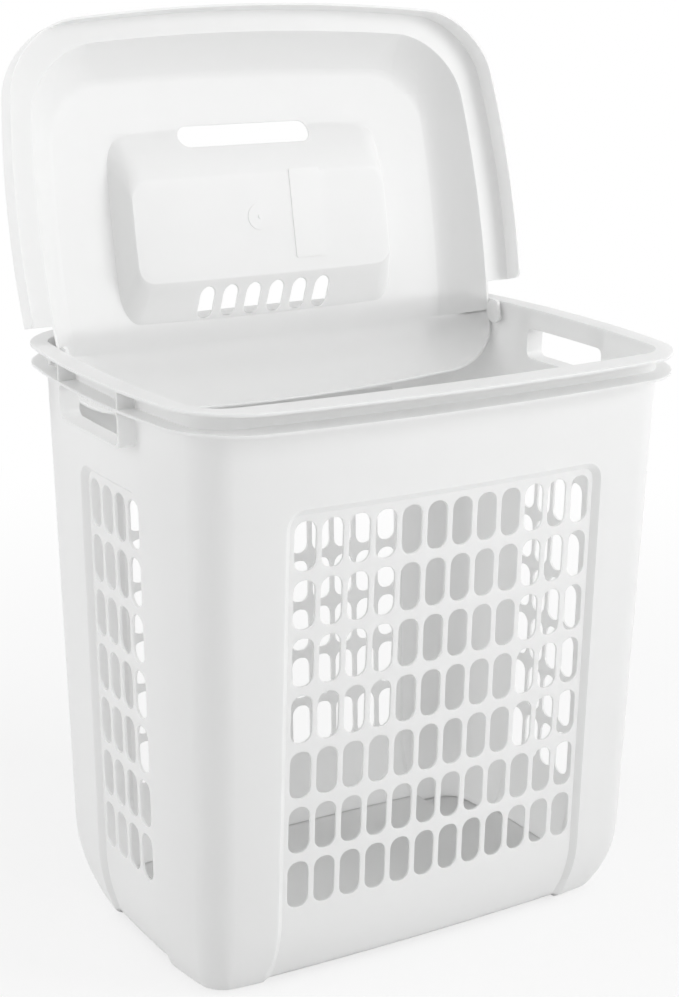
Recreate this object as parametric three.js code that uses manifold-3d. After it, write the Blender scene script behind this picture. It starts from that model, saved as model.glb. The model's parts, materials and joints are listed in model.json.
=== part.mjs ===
// Laundry hamper with a hinged lid: two moulded polypropylene pieces.
// Frame: millimetres, +Z up, +X along the long side, -Y towards the user.
// The lid is modelled closed, then swung open about the pins moulded on its ears.
import * as THREE from "three";
import { mergeVertices } from "three/addons/utils/BufferGeometryUtils.js";
import Module from "manifold-3d";

// Tub
const HEIGHT = 505; // feet to rim
const RIM_WIDTH = 495; // over the flanges, along X
const RIM_DEPTH = 381; // over the flanges, along Y
const FLANGE_SIDE = 16; // how far a flange stands out from a short wall
const FLANGE_FRONT = 24.5; // and from a long wall
const FLANGE_THICKNESS = 2.2;
const FLANGE_PITCH = 16.4; // top of the upper flange to top of the lower one
const WALL = 2.4; // moulded wall
const WALL_CORNER = 30; // plan radius where two walls meet
const FLANGE_CORNER = 56; // plan radius of the flanges
const SIDE_DRAFT = 0.026; // lean of the short walls, mm per mm
const FRONT_DRAFT = 0.04; // lean of the long walls
const SIDE_BOW = 4.4e-4; // curvature of the short walls, 1/mm
const FRONT_BOW = 2.5e-4; // curvature of the long walls
const TUCK_HEIGHT = 68; // the walls curve inwards below this
const TUCK_SIDE = 15;
const TUCK_FRONT = 26;
const TUCK_LEVELS = [15, 32, 50, TUCK_HEIGHT]; // heights that round the tuck
const FOOT_HEIGHT = 5.5;

// Slotted panels
const SLOT_WIDTH = 19.4;
const SLOT_HEIGHT = 41;
const SLOT_CORNER = 5;
const COLUMN_BAR = 4.6; // upright bar between two slots
const ROW_BAR = 7.35; // level bar between two rows
const COLUMN_PITCH = SLOT_WIDTH + COLUMN_BAR;
const ROW_PITCH = SLOT_HEIGHT + ROW_BAR;
const ROWS = 7;
const FRONT_COLUMNS = 12;
const SIDE_COLUMNS = 4;
const TOP_ROW_DROP = 117.9; // rim to the middle of the top row
const PANEL_DEPTH = 5.5; // how far a panel is set back from its wall
const PANEL_MARGIN = 4; // slots to the foot of the panel's sloping border
const PANEL_TOP_MARGIN = 5.5;
const PANEL_CORNER = 16;
const PANEL_SLOPE_OUT = 8; // how far the sloping border reaches past the wall's face

// Hand holes
const HANDLE_LENGTH = 110;
const HANDLE_HEIGHT = 28;
const HANDLE_CORNER = 6;
const RIB = 2.2;
const COLLAR_SETBACK = 0.6; // hand hole frame behind the flange's edge

// Hinge
const HINGE_FROM_REAR = 91.5; // rear flange edge to the pin axis
const HINGE_DROP = 9.5; // rim to the pin axis
const PIN_DIAMETER = 6;
const PIN_PLAY = 0.4; // gap around the pin
const PIN_PROUD = 7; // pin end beyond the tub wall
const OPEN_ANGLE = 104.4; // lid swing from shut to its rest on the rear rim

// Lid
const LID_WALL = 2;
const LID_SEAT_GAP = 0.5; // land over rim
const SKIRT_CLEARANCE = 1.2; // skirt to flange edge
const SKIRT_FRONT_EXTRA = 0.8;
const SKIRT_DROP = 19.5; // skirt edge below the rim
const SKIRT_END_FROM_HINGE = 29;
const SKIRT_END_RADIUS = 8;
const DOME_CLEARANCE = 3.6; // dome foot to the tub's inner wall
const LAND_FRONT = 19.2; // width of the front land
const DOME_FRONT_HEIGHT = 37;
const DOME_REAR_CLEARANCE = 5.9; // lid tail to the rear wall as it swings
const DOME_SIDE_RUN = 31; // how far the dome's side slopes in
const DOME_FRONT_RUN = 36;
const DOME_CORNER = 62;
const DOME_CORNER_TIGHTENS = 20; // the dome's top corners are tighter by this
const TAIL_SIDE_RUN = 55; // how far the tail's rounded side curves in
const EAR_RADIUS = 11;
const EAR_DROP = 8; // ear below the pin axis

// Hand cup in the lid
const CUP_WIDTH = 280;
const CUP_FRONT = 200; // pin axis to the cup's front edge
const CUP_REAR = 20; // pin axis to the cup's rear edge
const CUP_DEPTH = 23;
const CUP_CORNER = 32;
const CUP_CORNER_TIGHTENS = 6;
const CUP_SIDE_RUN = 13;
const CUP_REAR_RUN = 36;
const CUP_FRONT_RUN = 38;
const GRIP_LENGTH = 134;
const GRIP_HEIGHT = 20;
const GRIP_FROM_FRONT = 14; // cup's front edge to the middle of the grip slot
const VENTS = 6;
const VENT_WIDTH = 15.5;
const VENT_LENGTH = 27;
const VENT_PITCH = 23.7;

const CORNER_STEPS = 5; // facets in a rounded plan corner
const SIDE_STEPS = 2; // facets in a bowed side
const PIN_SINK = 1; // a pin starts this far inside its ear
const EAR_THICKNESS = 3;
const LAP = 1; // ribs run this far into what they join
const COLLAR_ROOT = 6; // the hand hole's frame starts this far inside the wall's face
const FAR = 400; // cutters reach past every face
const BELOW = -20; // and start below the feet
const BEYOND = 5; // a cavity runs this far past the rim

const wasm = await Module();
wasm.setup();

// ---------- solids ----------

function solidOf(geometry) {
  const bare = new THREE.BufferGeometry();
  const flat = geometry.index ? geometry.toNonIndexed() : geometry;
  bare.setAttribute("position", flat.getAttribute("position"));
  const merged = mergeVertices(bare, 1e-4);
  return new wasm.Manifold(
    new wasm.Mesh({
      numProp: 3,
      vertProperties: merged.attributes.position.array,
      triVerts: new Uint32Array(merged.index.array),
    }),
  );
}

function geometryOf(solid) {
  const mesh = solid.getMesh();
  const geometry = new THREE.BufferGeometry();
  geometry.setAttribute("position", new THREE.BufferAttribute(mesh.vertProperties, 3));
  geometry.setIndex(new THREE.BufferAttribute(mesh.triVerts, 1));
  const faceted = geometry.toNonIndexed();
  faceted.computeVertexNormals();
  return faceted;
}

function joined(solids) {
  return solids.reduce((sum, next) => sum.add(next));
}

// A block between two corners.
function block(low, high) {
  const size = new THREE.Vector3().subVectors(high, low);
  const geometry = new THREE.BoxGeometry(size.x, size.y, size.z);
  geometry.translate(...new THREE.Vector3().addVectors(low, high).multiplyScalar(0.5));
  return solidOf(geometry);
}

// A stack of closed rings with the same number of points, capped at both ends.
function loft(rings) {
  const count = rings[0].length;
  const points = rings.flat();
  const faces = [];
  for (let r = 0; r + 1 < rings.length; r++) {
    for (let i = 0; i < count; i++) {
      const a = r * count + i;
      const b = r * count + ((i + 1) % count);
      faces.push(a, b, b + count, a, b + count, a + count);
    }
  }
  const capOf = (ring) =>
    THREE.ShapeUtils.triangulateShape(ring.map((p) => new THREE.Vector2(p.x, p.y)), []);
  const last = (rings.length - 1) * count;
  for (const [a, b, c] of capOf(rings[0])) faces.push(a, c, b);
  for (const [a, b, c] of capOf(rings.at(-1))) faces.push(last + a, last + b, last + c);
  const geometry = new THREE.BufferGeometry().setFromPoints(points);
  geometry.setIndex(faces);
  return solidOf(geometry);
}

// ---------- outlines ----------

// Walls bulge gently: x and y shrink away from the middle of each side.
function bowed(x, y) {
  return [
    x * (1 - (SIDE_BOW * y * y) / (RIM_WIDTH / 2)),
    y * (1 - (FRONT_BOW * x * x) / (RIM_DEPTH / 2)),
  ];
}

// A rounded rectangle at one height, its sides split so that the bow shows.
function ring(halfWidth, front, rear, radius, heightOf) {
  const corners = [
    [halfWidth - radius, front + radius, -90],
    [halfWidth - radius, rear - radius, 0],
    [radius - halfWidth, rear - radius, 90],
    [radius - halfWidth, front + radius, 180],
  ];
  const plan = [];
  corners.forEach(([cx, cy, start], corner) => {
    for (let k = 0; k <= CORNER_STEPS; k++) {
      const angle = THREE.MathUtils.degToRad(start + (k * 90) / CORNER_STEPS);
      plan.push([cx + radius * Math.cos(angle), cy + radius * Math.sin(angle)]);
    }
    const [nx, ny, next] = corners[(corner + 1) % 4];
    const turn = THREE.MathUtils.degToRad(next);
    const from = plan.at(-1);
    const to = [nx + radius * Math.cos(turn), ny + radius * Math.sin(turn)];
    for (let k = 1; k < SIDE_STEPS; k++) {
      plan.push([
        THREE.MathUtils.lerp(from[0], to[0], k / SIDE_STEPS),
        THREE.MathUtils.lerp(from[1], to[1], k / SIDE_STEPS),
      ]);
    }
  });
  return plan.map(([x, y]) => {
    const [bx, by] = bowed(x, y);
    return new THREE.Vector3(bx, by, heightOf(bx, by));
  });
}

function tubRing(z, inset) {
  const halfWidth = wallPlace(z, true) - inset;
  const halfDepth = wallPlace(z, false) - inset;
  return ring(halfWidth, -halfDepth, halfDepth, WALL_CORNER - inset, () => z);
}

function tubSolid(bottom, top, inset) {
  const heights = [bottom, ...TUCK_LEVELS, top];
  return loft(heights.map((z) => tubRing(z, inset)));
}

// A rounded rectangle in the X-Z plane (or Y-Z, turned), as a cutter along the other axis.
function roundedShape(width, height, radius, segments) {
  const w = width / 2 - radius;
  const h = height / 2 - radius;
  const shape = new THREE.Shape();
  const starts = [[w, -h, -90], [w, h, 0], [-w, h, 90], [-w, -h, 180]];
  starts.forEach(([cx, cy, start], corner) => {
    for (let k = 0; k <= segments; k++) {
      const angle = THREE.MathUtils.degToRad(start + (k * 90) / segments);
      const x = cx + radius * Math.cos(angle);
      const y = cy + radius * Math.sin(angle);
      if (corner === 0 && k === 0) shape.moveTo(x, y);
      else shape.lineTo(x, y);
    }
  });
  return shape;
}

// A shape pushed along Y from one place to another, or along X when it is turned.
function prism(shape, from, to, across, height, alongX = false) {
  const geometry = new THREE.ExtrudeGeometry(shape, { depth: to - from, bevelEnabled: false });
  geometry.translate(0, 0, alongX ? from : -to);
  geometry.rotateX(Math.PI / 2);
  if (alongX) geometry.rotateZ(Math.PI / 2);
  geometry.translate(alongX ? 0 : across, alongX ? across : 0, height);
  return solidOf(geometry);
}

// ---------- tub ----------

const slotShape = roundedShape(SLOT_WIDTH, SLOT_HEIGHT, SLOT_CORNER, 1);
const gridHalfWidth = (columns) => ((columns - 1) * COLUMN_PITCH + SLOT_WIDTH) / 2;
const rowHeight = (row) => HEIGHT - TOP_ROW_DROP - row * ROW_PITCH;
const panelTop = rowHeight(0) + SLOT_HEIGHT / 2 + PANEL_TOP_MARGIN + PANEL_DEPTH / 2;
const lowerFlangeTop = HEIGHT - FLANGE_PITCH;
const lowerFlangeBottom = lowerFlangeTop - FLANGE_THICKNESS;

// The slots of one pair of facing walls, each cutter going through both.
function slotCutters(columns, alongX) {
  const cutters = [];
  for (let row = 0; row < ROWS; row++) {
    for (let column = 0; column < columns; column++) {
      const across = (column - (columns - 1) / 2) * COLUMN_PITCH;
      cutters.push(prism(slotShape, -FAR, FAR, across, rowHeight(row), alongX));
    }
  }
  return cutters;
}

// Where a wall stands at one height, before its bow.
function wallPlace(z, shortWall) {
  const below = HEIGHT - z;
  const tuck = z < TUCK_HEIGHT ? ((TUCK_HEIGHT - z) / TUCK_HEIGHT) ** 2 : 0;
  return shortWall
    ? RIM_WIDTH / 2 - FLANGE_SIDE - SIDE_DRAFT * below - TUCK_SIDE * tuck
    : RIM_DEPTH / 2 - FLANGE_FRONT - FRONT_DRAFT * below - TUCK_FRONT * tuck;
}

// Where a panel is set back: a window with sloping sides and a rounded top, open below the feet.
// It is made for the wall at +Y and turned to its own wall.
function panelWindow(shortWall, quarterTurns, grow) {
  const columns = shortWall ? SIDE_COLUMNS : FRONT_COLUMNS;
  const foot = gridHalfWidth(columns) + PANEL_MARGIN + grow;
  const reach = 30;
  const rings = [BELOW, 0, ...TUCK_LEVELS, HEIGHT].map((z) => {
    const face = wallPlace(Math.max(z, 0), shortWall) - PANEL_DEPTH;
    const half = [[foot, face - reach], [foot, face], [foot + reach, face + reach]];
    const mirrored = half.map(([x, y]) => [-x, y]).reverse();
    return [...half, ...mirrored].map(([x, y]) => new THREE.Vector3(x, y, z));
  });
  const outer = foot + PANEL_DEPTH + PANEL_SLOPE_OUT;
  const height = panelTop + grow + 3 * PANEL_CORNER;
  const front = roundedShape(2 * outer, height, PANEL_CORNER, 4);
  return loft(rings)
    .intersect(prism(front, -FAR, FAR, 0, panelTop + grow - height / 2))
    .rotate([0, 0, quarterTurns * 90]);
}

function panelWindows(grow) {
  const turns = [0, 1, 2, 3];
  return joined(turns.map((turn) => panelWindow(turn % 2 === 1, turn, grow)));
}

// The flange's outline between two heights.
function flangeColumn(bottom, top, inset) {
  const x = RIM_WIDTH / 2 - inset;
  const y = RIM_DEPTH / 2 - inset;
  const outline = (z) => ring(x, -y, y, FLANGE_CORNER - inset, () => z);
  return loft([outline(bottom), outline(top)]);
}

const flange = (top) => flangeColumn(top - FLANGE_THICKNESS, top, 0);

// The box that frames a hand hole, from the wall out to the flange's edge.
function handleCollar(side) {
  const half = HANDLE_LENGTH / 2 + RIB;
  const low = lowerFlangeBottom - HANDLE_HEIGHT - RIB;
  const wall = RIM_WIDTH / 2 - FLANGE_SIDE;
  const x = [side * (wall - COLLAR_ROOT), (side * RIM_WIDTH) / 2].sort((a, b) => a - b);
  const frame = block(
    new THREE.Vector3(x[0], -half, low),
    new THREE.Vector3(x[1], half, lowerFlangeBottom + FLANGE_THICKNESS / 2),
  );
  const ribs = [-1, 1].map((end) =>
    block(
      new THREE.Vector3(x[0], end * (half - RIB / 2) - RIB / 2, lowerFlangeTop - LAP),
      new THREE.Vector3(x[1], end * (half - RIB / 2) + RIB / 2, HEIGHT - LAP),
    ),
  );
  return joined([frame, ...ribs]).intersect(flangeColumn(low - LAP, HEIGHT, COLLAR_SETBACK));
}

function makeTub() {
  const floorTop = FOOT_HEIGHT + WALL;
  const insidePanels = panelWindows(WALL);
  const cavity = tubSolid(WALL, HEIGHT + BEYOND, WALL)
    .subtract(insidePanels.subtract(tubSolid(-BEYOND, HEIGHT + BEYOND, PANEL_DEPTH + WALL)))
    .subtract(underCross(floorTop, WALL));
  const handleZ = lowerFlangeBottom - HANDLE_HEIGHT / 2;
  const handleShape = roundedShape(HANDLE_LENGTH, HANDLE_HEIGHT, HANDLE_CORNER, 3);
  const pinHole = PIN_DIAMETER + 2 * PIN_PLAY;
  const pinShape = roundedShape(pinHole, pinHole, pinHole / 2 - 0.01, 4);
  return tubSolid(0, HEIGHT, 0)
    .subtract(panelWindows(0).subtract(tubSolid(-BEYOND, HEIGHT + BEYOND, PANEL_DEPTH)))
    .subtract(underCross(FOOT_HEIGHT, 0))
    .add(joined([flange(HEIGHT), flange(lowerFlangeTop), handleCollar(-1), handleCollar(1)]))
    .subtract(cavity)
    .subtract(joined(slotCutters(FRONT_COLUMNS, false)))
    .subtract(joined(slotCutters(SIDE_COLUMNS, true)))
    .subtract(prism(handleShape, -FAR, FAR, 0, handleZ, true))
    .subtract(prism(pinShape, -FAR, FAR, hingeY, HEIGHT - HINGE_DROP, true));
}

// The space under the floor between the four corner feet.
function underCross(height, grow) {
  const alongX = gridHalfWidth(FRONT_COLUMNS) + PANEL_MARGIN + PANEL_DEPTH + grow;
  const alongY = gridHalfWidth(SIDE_COLUMNS) + PANEL_MARGIN + PANEL_DEPTH + grow;
  return joined([
    block(new THREE.Vector3(-alongX, -FAR, BELOW), new THREE.Vector3(alongX, FAR, height)),
    block(new THREE.Vector3(-FAR, -alongY, BELOW), new THREE.Vector3(FAR, alongY, height)),
  ]);
}

// ---------- lid, modelled shut ----------

const hingeY = RIM_DEPTH / 2 - HINGE_FROM_REAR;
const hingeZ = HEIGHT - HINGE_DROP;
const seat = HEIGHT + LID_SEAT_GAP; // underside of the land
const tubInnerHalfWidth = RIM_WIDTH / 2 - FLANGE_SIDE - WALL;
const tubInnerHalfDepth = RIM_DEPTH / 2 - FLANGE_FRONT - WALL;
const domeHalfWidth = tubInnerHalfWidth - DOME_CLEARANCE;
const lidHalfWidth = RIM_WIDTH / 2 + SKIRT_CLEARANCE + LID_WALL;
const lidFront = -(RIM_DEPTH / 2 + SKIRT_CLEARANCE + SKIRT_FRONT_EXTRA + LID_WALL);
const domeFront = lidFront + LAND_FRONT;
const tailRadius = tubInnerHalfDepth - hingeY - DOME_REAR_CLEARANCE;

// How far in (0 to 1) and how far up (0 to 1) the dome's surface has come, from its foot to its top.
const domeProfile = [[0, 0], [0.22, 0.38], [0.4, 0.65], [0.58, 0.83], [0.8, 0.95], [1, 1]];

// Height of the dome's outer face over the rim: it rises towards the hinge and is crowned across.
function domeHeight(x, y) {
  const along = (y - domeFront) / (hingeY - domeFront);
  const crown = (FRONT_BOW * x * x * tubInnerHalfDepth) / (RIM_DEPTH / 2);
  return THREE.MathUtils.lerp(DOME_FRONT_HEIGHT, tailRadius - HINGE_DROP, along) - crown;
}

function domeRing(inward, upward, inset, shrink) {
  const half = (domeHalfWidth - inset - inward * DOME_SIDE_RUN) * shrink;
  const front = (domeFront + inset + inward * DOME_FRONT_RUN) * shrink;
  const rear = (hingeY + DOME_CORNER) * shrink;
  const radius = (DOME_CORNER - inset - inward * DOME_CORNER_TIGHTENS) * shrink;
  return ring(half, front, rear, radius, (x, y) => {
    const top = domeHeight(x, y) - inset - LID_SEAT_GAP;
    return seat + upward * top;
  });
}

function domeSolid(inset) {
  const rings = domeProfile.map(([inward, upward]) => domeRing(inward, upward, inset, 1));
  rings.push(domeRing(1, 1, inset, 0.6), domeRing(1, 1, inset, 0.25));
  if (inset > 0) {
    const foot = rings[0].map((p) => new THREE.Vector3(p.x, p.y, seat - LID_WALL));
    rings.unshift(foot);
  }
  return loft(rings).trimByPlane([0, -1, 0], -hingeY);
}

// Behind the hinge the lid is part of a barrel about the pin axis, so it can swing into the tub.
function tailSolid(inset) {
  const narrow = 1 - (SIDE_BOW * hingeY * hingeY) / (RIM_WIDTH / 2);
  const face = domeHalfWidth * narrow - inset;
  const low = seat - hingeZ;
  const shoulder = face - TAIL_SIDE_RUN;
  const radiusAt = (x) => HEIGHT + domeHeight(x, hingeY) - inset - hingeZ;
  const half = [];
  for (let k = 0; k <= 8; k++) {
    const angle = (k * Math.PI) / 16;
    const rise = (radiusAt(shoulder) - low) * Math.sin(angle);
    half.push(new THREE.Vector2(low + rise, shoulder + TAIL_SIDE_RUN * Math.cos(angle)));
  }
  for (const x of [0.6 * shoulder, 0.25 * shoulder]) half.push(new THREE.Vector2(radiusAt(x), x));
  const outline = [new THREE.Vector2(0, half[0].y), ...half];
  const mirrored = outline.map((p) => new THREE.Vector2(p.x, -p.y));
  const geometry = new THREE.LatheGeometry([...mirrored, ...outline.reverse()], 40);
  geometry.rotateZ(-Math.PI / 2);
  geometry.translate(0, hingeY, hingeZ);
  return solidOf(geometry)
    .trimByPlane([0, 1, 0], hingeY)
    .trimByPlane([0, 0, 1], inset > 0 ? seat - LID_WALL : seat);
}

// The skirt and the land around the front and both sides, with a rounded rear end.
function skirtSolid() {
  const low = HEIGHT - SKIRT_DROP;
  const outer = (z, inset) =>
    ring(
      lidHalfWidth - inset,
      lidFront + inset,
      -lidFront - inset,
      FLANGE_CORNER + SKIRT_CLEARANCE + LID_WALL - inset,
      () => z,
    );
  const shell = loft([outer(low, 0), outer(seat + LID_WALL, 0)]).subtract(
    loft([outer(low - BEYOND, LID_WALL), outer(seat, LID_WALL)]),
  );
  const end = hingeY - SKIRT_END_FROM_HINGE;
  const side = new THREE.Shape();
  side.moveTo(-FAR, -FAR);
  side.lineTo(end - SKIRT_END_RADIUS, -FAR);
  side.lineTo(end - SKIRT_END_RADIUS, low);
  for (let k = 1; k <= 4; k++) {
    const angle = (k * Math.PI) / 8;
    side.lineTo(
      end - SKIRT_END_RADIUS + SKIRT_END_RADIUS * Math.sin(angle),
      low + SKIRT_END_RADIUS * (1 - Math.cos(angle)),
    );
  }
  side.lineTo(end, HEIGHT + FAR);
  side.lineTo(-FAR, HEIGHT + FAR);
  return shell.intersect(prism(side, -FAR, FAR, 0, 0, true));
}

// The hand cup sunk in the dome: its walls slope in to a floor that follows the dome.
function cupSolid(offset) {
  const rearEdge = hingeY - CUP_REAR;
  const frontEdge = hingeY - CUP_FRONT;
  const level = (share, raise) =>
    ring(
      CUP_WIDTH / 2 + offset - share * CUP_SIDE_RUN,
      frontEdge - offset + share * CUP_FRONT_RUN,
      rearEdge + offset - share * CUP_REAR_RUN,
      CUP_CORNER + offset - share * CUP_CORNER_TIGHTENS,
      (x, y) => HEIGHT + domeHeight(x, y) - share * (CUP_DEPTH + offset) + raise,
    );
  return loft([level(1, 0), level(0, 0.01), level(-0.05, 12)]);
}

// Cutters that stand upright over the cup: the grip slot and the vents.
function uprightCutter(width, length, radius, x, y) {
  const geometry = new THREE.ExtrudeGeometry(roundedShape(width, length, radius, 4), {
    depth: FAR,
    bevelEnabled: false,
  });
  geometry.translate(x, y, HEIGHT);
  return solidOf(geometry);
}

function cupOpenings() {
  const gripY = hingeY - CUP_FRONT + GRIP_FROM_FRONT;
  const cutters = [uprightCutter(GRIP_LENGTH, GRIP_HEIGHT, GRIP_HEIGHT / 2 - 0.5, 0, gripY)];
  const ventY = hingeY - CUP_REAR - CUP_REAR_RUN / 2 + 2;
  for (let k = 0; k < VENTS; k++) {
    const x = (k - (VENTS - 1) / 2) * VENT_PITCH;
    cutters.push(uprightCutter(VENT_WIDTH, VENT_LENGTH, VENT_WIDTH / 2 - 0.1, x, ventY));
  }
  return joined(cutters);
}

// One ear with its pin: a round tab beside the tub wall, and the pin that goes through it.
function earSolid(side) {
  const narrow = 1 - (SIDE_BOW * hingeY * hingeY) / (RIM_WIDTH / 2);
  const face = domeHalfWidth * narrow;
  const wallOuter = (RIM_WIDTH / 2 - FLANGE_SIDE) * narrow;
  const alongX = (radius, from, to) => {
    const geometry = new THREE.CylinderGeometry(radius, radius, to - from, 24);
    geometry.rotateZ(Math.PI / 2);
    geometry.translate(side * (from + to) / 2, hingeY, hingeZ);
    return solidOf(geometry);
  };
  const tab = alongX(EAR_RADIUS, face - EAR_THICKNESS, face).trimByPlane([0, 0, 1], hingeZ - EAR_DROP);
  return joined([tab, alongX(PIN_DIAMETER / 2, face - PIN_SINK, wallOuter + PIN_PROUD)]);
}

function makeLid() {
  const hollow = joined([domeSolid(LID_WALL), tailSolid(LID_WALL)]);
  const body = joined([skirtSolid(), domeSolid(0), tailSolid(0)]);
  return body
    .subtract(hollow.subtract(cupSolid(LID_WALL)))
    .subtract(cupSolid(0))
    .subtract(cupOpenings())
    .add(joined([earSolid(-1), earSolid(1)]));
}

// ---------- assembly ----------

const polypropylene = { color: 0xf3f4f4, roughness: 0.42, metalness: 0 };

function piece(name, solid) {
  const mesh = new THREE.Mesh(geometryOf(solid), new THREE.MeshStandardMaterial(polypropylene));
  mesh.name = name;
  return mesh;
}

const basket = piece("basket", makeTub());
const lid = piece("lid", makeLid());
lid.position.set(0, -hingeY, -hingeZ);

const lidPivot = new THREE.Group();
lidPivot.position.set(0, hingeY, hingeZ);
lidPivot.rotation.x = -THREE.MathUtils.degToRad(OPEN_ANGLE);
lidPivot.add(lid);

const hamper = new THREE.Group();
hamper.add(basket, lidPivot);

// The open lid leans out behind the tub: the frame's origin is under the middle of both.
const bounds = new THREE.Box3().setFromObject(hamper, true);
hamper.position.y = -(bounds.min.y + bounds.max.y) / 2;

export default hamper;
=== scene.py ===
"""Laundry hamper with a hinged lid: fine meshes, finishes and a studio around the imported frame."""

import json
import math

import bpy
from mathutils import Matrix, Vector


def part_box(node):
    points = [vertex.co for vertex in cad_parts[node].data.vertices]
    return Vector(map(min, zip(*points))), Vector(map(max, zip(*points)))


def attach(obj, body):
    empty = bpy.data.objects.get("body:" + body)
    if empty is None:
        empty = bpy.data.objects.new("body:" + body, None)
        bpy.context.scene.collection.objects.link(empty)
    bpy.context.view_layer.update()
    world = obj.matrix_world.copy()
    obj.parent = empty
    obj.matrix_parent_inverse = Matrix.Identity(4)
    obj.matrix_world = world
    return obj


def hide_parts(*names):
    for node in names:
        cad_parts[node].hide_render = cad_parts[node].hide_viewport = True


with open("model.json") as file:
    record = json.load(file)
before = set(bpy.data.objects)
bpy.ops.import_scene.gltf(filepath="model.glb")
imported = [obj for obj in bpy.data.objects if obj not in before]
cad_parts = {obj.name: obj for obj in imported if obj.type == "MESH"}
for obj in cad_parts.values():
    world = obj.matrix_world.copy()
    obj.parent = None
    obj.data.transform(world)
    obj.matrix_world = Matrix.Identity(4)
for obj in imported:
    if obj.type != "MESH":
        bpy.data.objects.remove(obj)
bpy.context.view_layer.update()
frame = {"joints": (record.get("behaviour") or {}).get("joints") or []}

bl_info = {
    "name": "Laundry Hamper",
    "version": (1, 0, 0),
    "blender": (4, 5, 0),
    "location": "View3D > Sidebar > Hamper",
    "description": "Builds a moulded laundry hamper with a hinged, domed lid",
    "category": "Add Mesh",
}

TUB_LOW, TUB_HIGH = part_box("basket")
HINGE = frame["joints"][0]

# The tub is modelled about its own middle, standing on z = 0, and moved to its place at the end.
TUB_MIDDLE = (TUB_LOW + TUB_HIGH) / 2
HEIGHT = TUB_HIGH.z
HALF_RIM_X = TUB_HIGH.x
HALF_RIM_Y = (TUB_HIGH.y - TUB_LOW.y) / 2
HINGE_Y = HINGE["pos_m"][1] - TUB_MIDDLE.y
HINGE_Z = HINGE["pos_m"][2]
OPEN_ANGLE = math.radians(HINGE["range_deg"][1])

MM = 0.001
SIDE_BOW = 0.44  # curvature of the short walls, 1/m
FRONT_BOW = 0.25  # curvature of the long walls, 1/m
FLANGE_SIDE = 16 * MM  # how far a flange stands out from a short wall
FLANGE_FRONT = 24.5 * MM  # and from a long wall
HALF_WALL_X = HALF_RIM_X - FLANGE_SIDE
HALF_WALL_Y = HALF_RIM_Y - FLANGE_FRONT
TUB_WALL = 2.4 * MM
FLANGE_CORNER = 56 * MM
WALL_CORNER = 30 * MM
SEAT_GAP = 0.5 * MM
SEAT = HEIGHT + SEAT_GAP  # underside of the lid's land when it is shut
LID_CLEARANCE = 1.2 * MM  # skirt to flange
PIN_RADIUS = 3 * MM
PIN_PLAY = 0.4 * MM  # pin to its hole, on the radius
FAR = 0.4  # past every wall of the hamper
SOFT_EDGE_ANGLE = 32  # degrees: sharper edges are rounded
SMOOTH_ANGLE = 38  # degrees: shallower edges are shaded smooth


# ---------- settings ----------


def length(name, description, default):
    """A length in metres that a user can change."""
    return bpy.props.FloatProperty(
        name=name, description=description, default=default, min=0, subtype="DISTANCE", unit="LENGTH"
    )


def colour(name, description, default):
    """A colour that a user can change."""
    return bpy.props.FloatVectorProperty(
        name=name, description=description, default=default, min=0, max=1, size=3, subtype="COLOR"
    )


class HamperTubSettings(bpy.types.PropertyGroup):
    """Sizes of the slotted tub."""

    wall: length("Wall", "Thickness of the moulded wall", TUB_WALL)
    flange_thickness: length("Flange thickness", "Thickness of the two rim flanges", 2.2 * MM)
    flange_pitch: length("Flange pitch", "Upper flange to lower flange", 16.4 * MM)
    slot_width: length("Slot width", "Width of one slot", 19.4 * MM)
    slot_height: length("Slot height", "Height of one slot", 41 * MM)
    slot_corner: length("Slot corner", "Corner radius of one slot", 8.8 * MM)
    column_pitch: length("Column pitch", "Middle of one slot to the next across", 24 * MM)
    row_pitch: length("Row pitch", "Middle of one slot to the next down", 48.35 * MM)
    top_row_drop: length("Top row drop", "Rim to the middle of the top row", 117.9 * MM)
    panel_depth: length("Panel depth", "How far a slotted panel is set back", 5.5 * MM)
    panel_corner: length("Panel corner", "Radius of a panel's top corners", 16 * MM)
    hand_hole_length: length("Hand hole length", "Length of a hand hole", 110 * MM)
    hand_hole_height: length("Hand hole height", "Height of a hand hole", 28 * MM)
    foot_height: length("Foot height", "Corner foot below the floor", 5.5 * MM)
    edge_radius: length("Edge radius", "Rounding of the moulded edges", 0.5 * MM)


class HamperLidSettings(bpy.types.PropertyGroup):
    """Sizes of the domed lid."""

    wall: length("Wall", "Thickness of the moulded wall", 2 * MM)
    skirt_drop: length("Skirt drop", "Skirt edge below the rim", 19.5 * MM)
    dome_front_height: length("Dome height", "Height of the dome at its front", 36.5 * MM)
    cup_width: length("Cup width", "Width of the hand cup", 280 * MM)
    cup_depth: length("Cup depth", "Depth of the hand cup", 23 * MM)
    grip_length: length("Grip length", "Length of the grip slot", 134 * MM)
    grip_height: length("Grip height", "Height of the grip slot", 20 * MM)
    vent_width: length("Vent width", "Width of one vent", 15.5 * MM)
    vent_length: length("Vent length", "Length of one vent", 27 * MM)
    vent_pitch: length("Vent pitch", "Middle of one vent to the next", 23.7 * MM)
    edge_radius: length("Edge radius", "Rounding of the moulded edges", 0.45 * MM)


class HamperFinishSettings(bpy.types.PropertyGroup):
    """Colours of the plastic and the studio."""

    plastic: colour("Plastic", "Colour of the moulded plastic", (0.88, 0.883, 0.88))
    plastic_shade: colour("Plastic shade", "Colour where the plastic is denser", (0.86, 0.863, 0.857))
    floor: colour("Floor", "Colour of the studio floor", (0.9, 0.9, 0.9))


# ---------- working in edit mode ----------


def deselect():
    if bpy.context.object and bpy.context.object.mode != "OBJECT":
        bpy.ops.object.mode_set(mode="OBJECT")
    bpy.ops.object.select_all(action="DESELECT")


def activate(piece):
    deselect()
    piece.select_set(True)
    bpy.context.view_layer.objects.active = piece


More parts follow.
